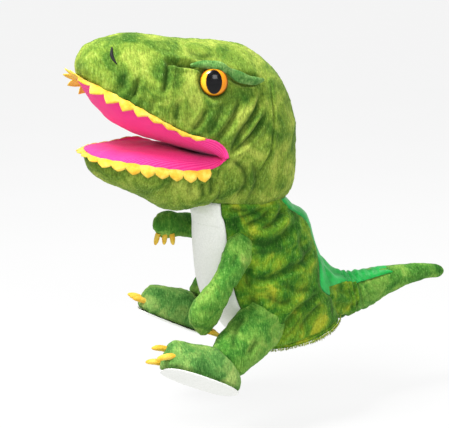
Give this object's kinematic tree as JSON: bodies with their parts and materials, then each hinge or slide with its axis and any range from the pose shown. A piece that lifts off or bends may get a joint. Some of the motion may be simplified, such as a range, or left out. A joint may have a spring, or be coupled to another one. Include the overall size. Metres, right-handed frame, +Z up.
{
  "type": "moving mouth hand puppet",
  "caption": "Plush dinosaur hand puppet with a wide moving mouth, felt teeth, stuffed arms, legs and tail, and a hollow body open at the hem for the hand.",
  "frame": {"origin": "centre of the hand opening, in the flat lower face of the hem band", "axes": "+Z up as worn, the puppet faces -Y with its tail along +Y, and its left side is +X"},
  "size_m": [0.1728, 0.3813, 0.3186],
  "materials": {
    "plush_green": "short-pile plush with light and dark green patches",
    "plush_dark": "short-pile plush, darker green, gathered",
    "satin_green": "bright green satin with a soft shine",
    "belly_white": "pale grey-white short plush",
    "mouth_pink": "hot pink knitted lining",
    "felt_yellow": "yellow felt",
    "eye_amber": "polished safety eye with a black pupil",
    "thread_black": "satin-stitched black thread",
    "foam_white": "soft stuffing and lining, not seen from outside",
    "mouth_board": "thin stiff board inside the mouth",
    "washer_plastic": "moulded locking washer",
    "seam_tape": "woven seam tape"
  },
  "bodies": {
    "torso": {"belly_panel": "belly_white", "side_panel_left": "plush_green", "side_panel_right": "plush_green", "spine_panel": "satin_green", "hem_band": "plush_dark", "neck_gusset_lower": "plush_dark", "tail_gusset_inner": "plush_dark"},
    "neck": {"neck_tape": "seam_tape", "neck_gusset_upper": "plush_dark"},
    "head": {"head_cover_left": "plush_green", "head_cover_right": "plush_green", "left_eye": "eye_amber", "right_eye": "eye_amber", "left_eye_washer": "washer_plastic", "right_eye_washer": "washer_plastic", "left_brow": "plush_dark", "right_brow": "plush_dark", "left_nostril": "thread_black", "right_nostril": "thread_black", "palate_lining": "mouth_pink", "upper_mouth_board": "mouth_board", "finger_pocket": "foam_white", "head_foam": "foam_white", "upper_teeth": "felt_yellow", "throat_gusset": "plush_dark"},
    "jaw": {"jaw_cover": "plush_green", "jaw_lining": "mouth_pink", "lower_mouth_board": "mouth_board", "thumb_pocket": "foam_white", "chin_foam": "foam_white", "lower_teeth": "felt_yellow"},
    "tail_root": {"tail_tape": "seam_tape", "tail_gusset_outer": "plush_dark"},
    "tail": {"tail_cover": "plush_green", "tail_stuffing": "foam_white", "tail_spine_strip": "satin_green"},
    "left_arm": {"left_arm": "plush_green", "left_hand_claw_1": "felt_yellow", "left_hand_claw_2": "felt_yellow", "left_hand_claw_3": "felt_yellow"},
    "left_leg": {"left_leg": "plush_green"},
    "left_foot": {"left_foot": "plush_green", "left_sole": "belly_white", "left_toe_claw_1": "felt_yellow", "left_toe_claw_2": "felt_yellow", "left_toe_claw_3": "felt_yellow"},
    "right_arm": {"right_arm": "plush_green", "right_hand_claw_1": "felt_yellow", "right_hand_claw_2": "felt_yellow", "right_hand_claw_3": "felt_yellow"},
    "right_leg": {"right_leg": "plush_green"},
    "right_foot": {"right_foot": "plush_green", "right_sole": "belly_white", "right_toe_claw_1": "felt_yellow", "right_toe_claw_2": "felt_yellow", "right_toe_claw_3": "felt_yellow"}
  },
  "joints": [
    {"name": "neck_turn", "type": "hinge", "parent": "torso", "child": "neck", "pos_m": [0, -0.05, 0.123], "axis": [0, 0, 1], "range_deg": [-25, 25], "deforming": ["neck_gusset_lower"]},
    {"name": "head_nod", "type": "hinge", "parent": "neck", "child": "head", "pos_m": [0, -0.05, 0.123], "axis": [1, 0, 0], "range_deg": [-12, 8], "deforming": ["neck_gusset_upper"]},
    {"name": "jaw_open", "type": "hinge", "parent": "head", "child": "jaw", "pos_m": [0, -0.086, 0.179], "axis": [1, 0, 0], "range_deg": [-25, 15], "deforming": ["throat_gusset", "palate_lining", "jaw_lining"]},
    {"name": "tail_lift", "type": "hinge", "parent": "torso", "child": "tail_root", "pos_m": [0, 0.054, 0.025], "axis": [1, 0, 0], "range_deg": [-12, 12], "deforming": ["tail_gusset_inner"]},
    {"name": "tail_wag", "type": "hinge", "parent": "tail_root", "child": "tail", "pos_m": [0, 0.054, 0.025], "axis": [0, 0, 1], "range_deg": [-20, 20], "deforming": ["tail_gusset_outer"]},
    {"name": "left_shoulder", "type": "hinge", "parent": "torso", "child": "left_arm", "pos_m": [0.0555, -0.074, 0.084], "axis": [1, 0, 0], "range_deg": [-60, 3]},
    {"name": "right_shoulder", "type": "hinge", "parent": "torso", "child": "right_arm", "pos_m": [-0.053, -0.076, 0.096], "axis": [1, 0, 0], "range_deg": [-10, 50]},
    {"name": "left_hip", "type": "hinge", "parent": "torso", "child": "left_leg", "pos_m": [0.0655, -0.045, 0.028], "axis": [1, 0, 0], "range_deg": [-8, 12]},
    {"name": "right_hip", "type": "hinge", "parent": "torso", "child": "right_leg", "pos_m": [-0.066, -0.034, 0.033], "axis": [1, 0, 0], "range_deg": [-10, 12]},
    {"name": "left_ankle", "type": "hinge", "parent": "left_leg", "child": "left_foot", "pos_m": [0.0593, -0.0887, -0.0045], "axis": [1, 0, 0], "range_deg": [-10, 10]},
    {"name": "right_ankle", "type": "hinge", "parent": "right_leg", "child": "right_foot", "pos_m": [-0.0669, -0.0634, 0.0116], "axis": [1, 0, 0], "range_deg": [-10, 10]}
  ]
}
